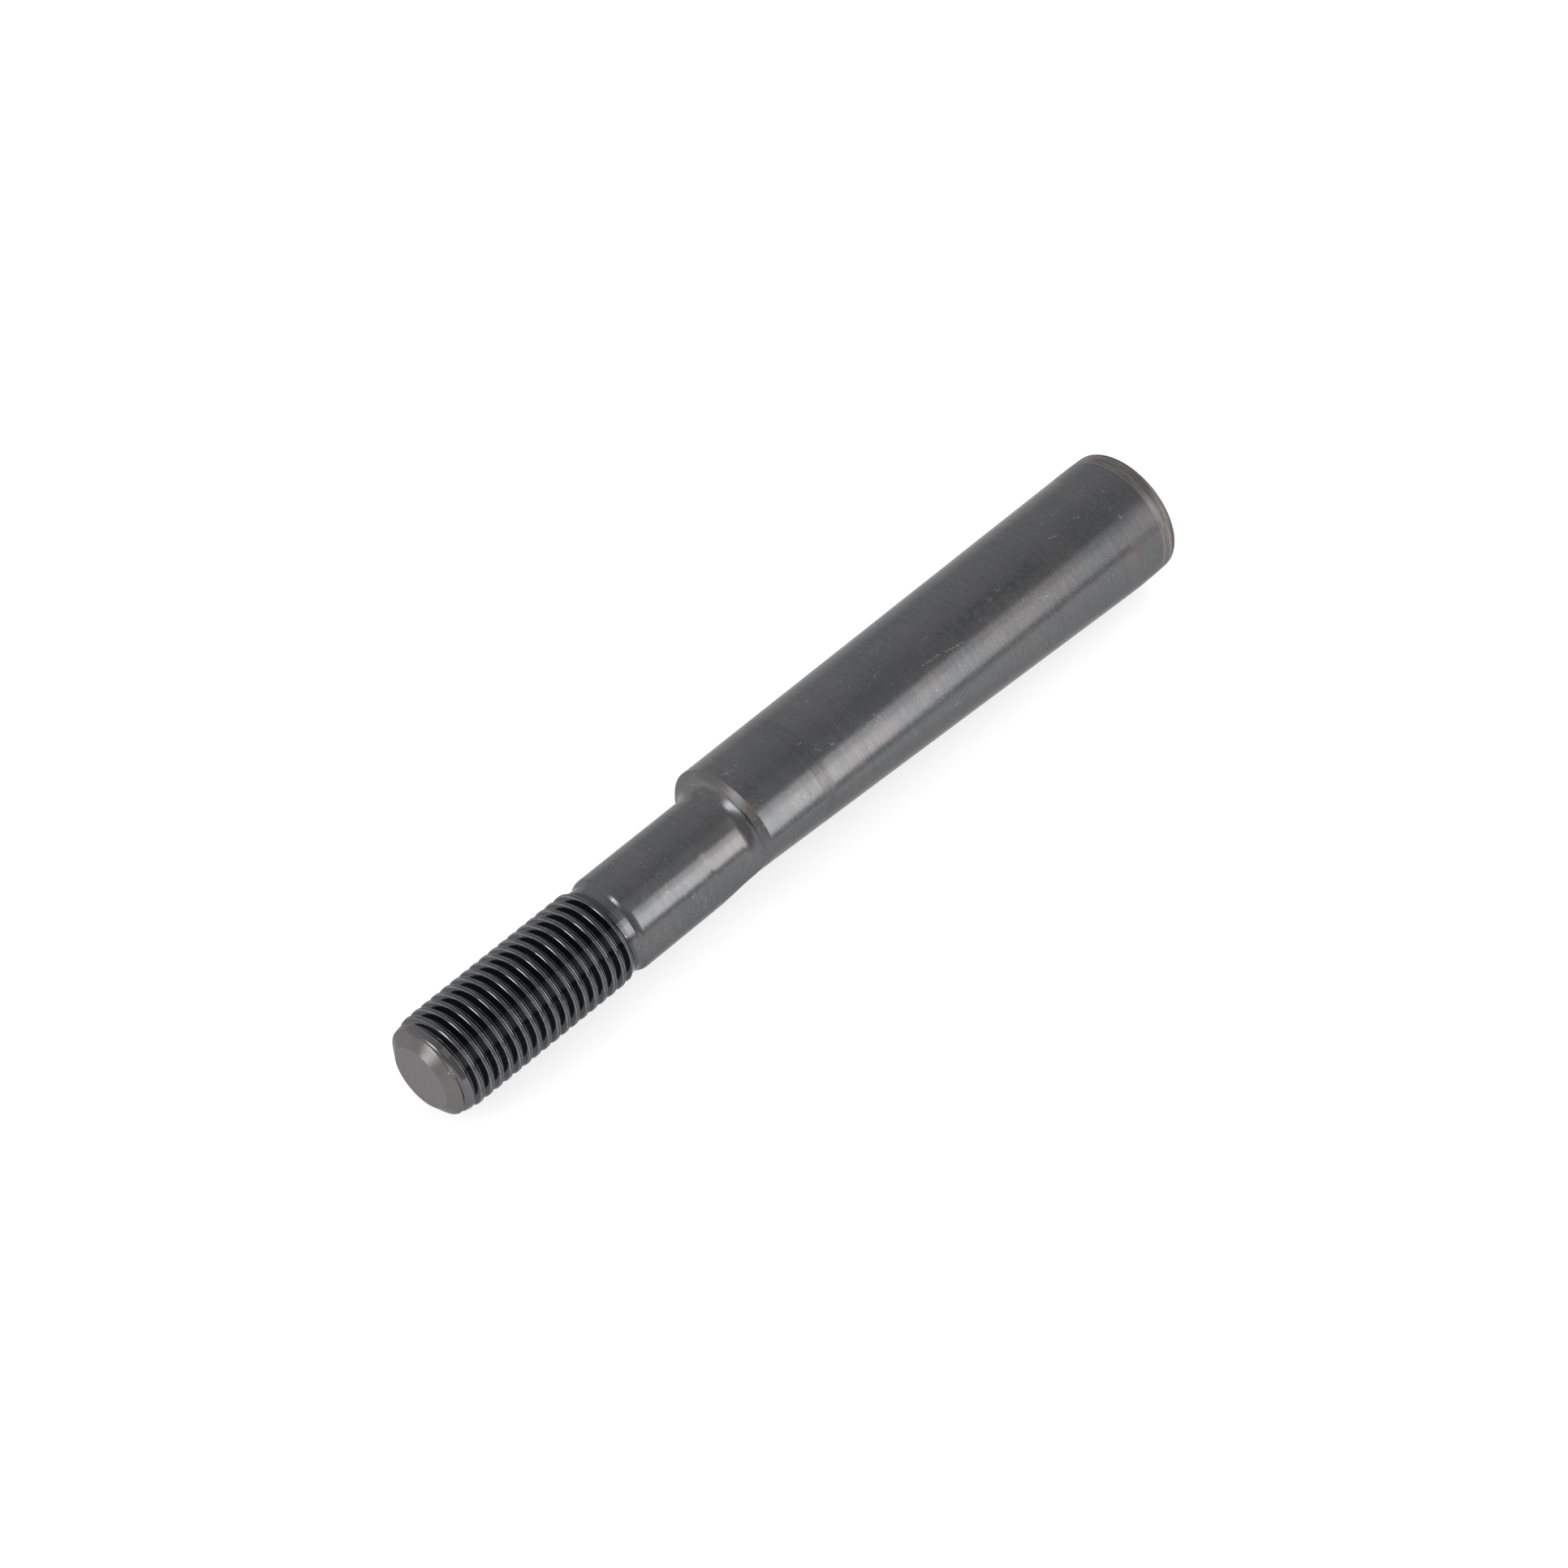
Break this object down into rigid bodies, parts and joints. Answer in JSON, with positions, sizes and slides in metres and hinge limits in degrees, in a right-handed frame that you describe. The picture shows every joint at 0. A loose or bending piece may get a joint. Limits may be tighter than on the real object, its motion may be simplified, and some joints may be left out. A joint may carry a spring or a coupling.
{
  "type": "threaded wedge pin",
  "caption": "Turned steel pin with a threaded stud, a plain neck and a thicker ground body that has a long tapered relief down one side.",
  "frame": {"origin": "centre of the flat end face of the big end", "axes": "+X along the pin's axis from the big end through the body, shoulder and neck to the thread's tip; the middle of the tapered relief faces 30 degrees from -Z towards +Y"},
  "size_m": [0.283, 0.04, 0.04],
  "materials": {
    "black_oxide_steel": "black oxide over fine circumferential grinding, semi-bright, thread darker"
  },
  "bodies": {
    "root": {"wedge_pin": "black_oxide_steel"}
  },
  "joints": []
}
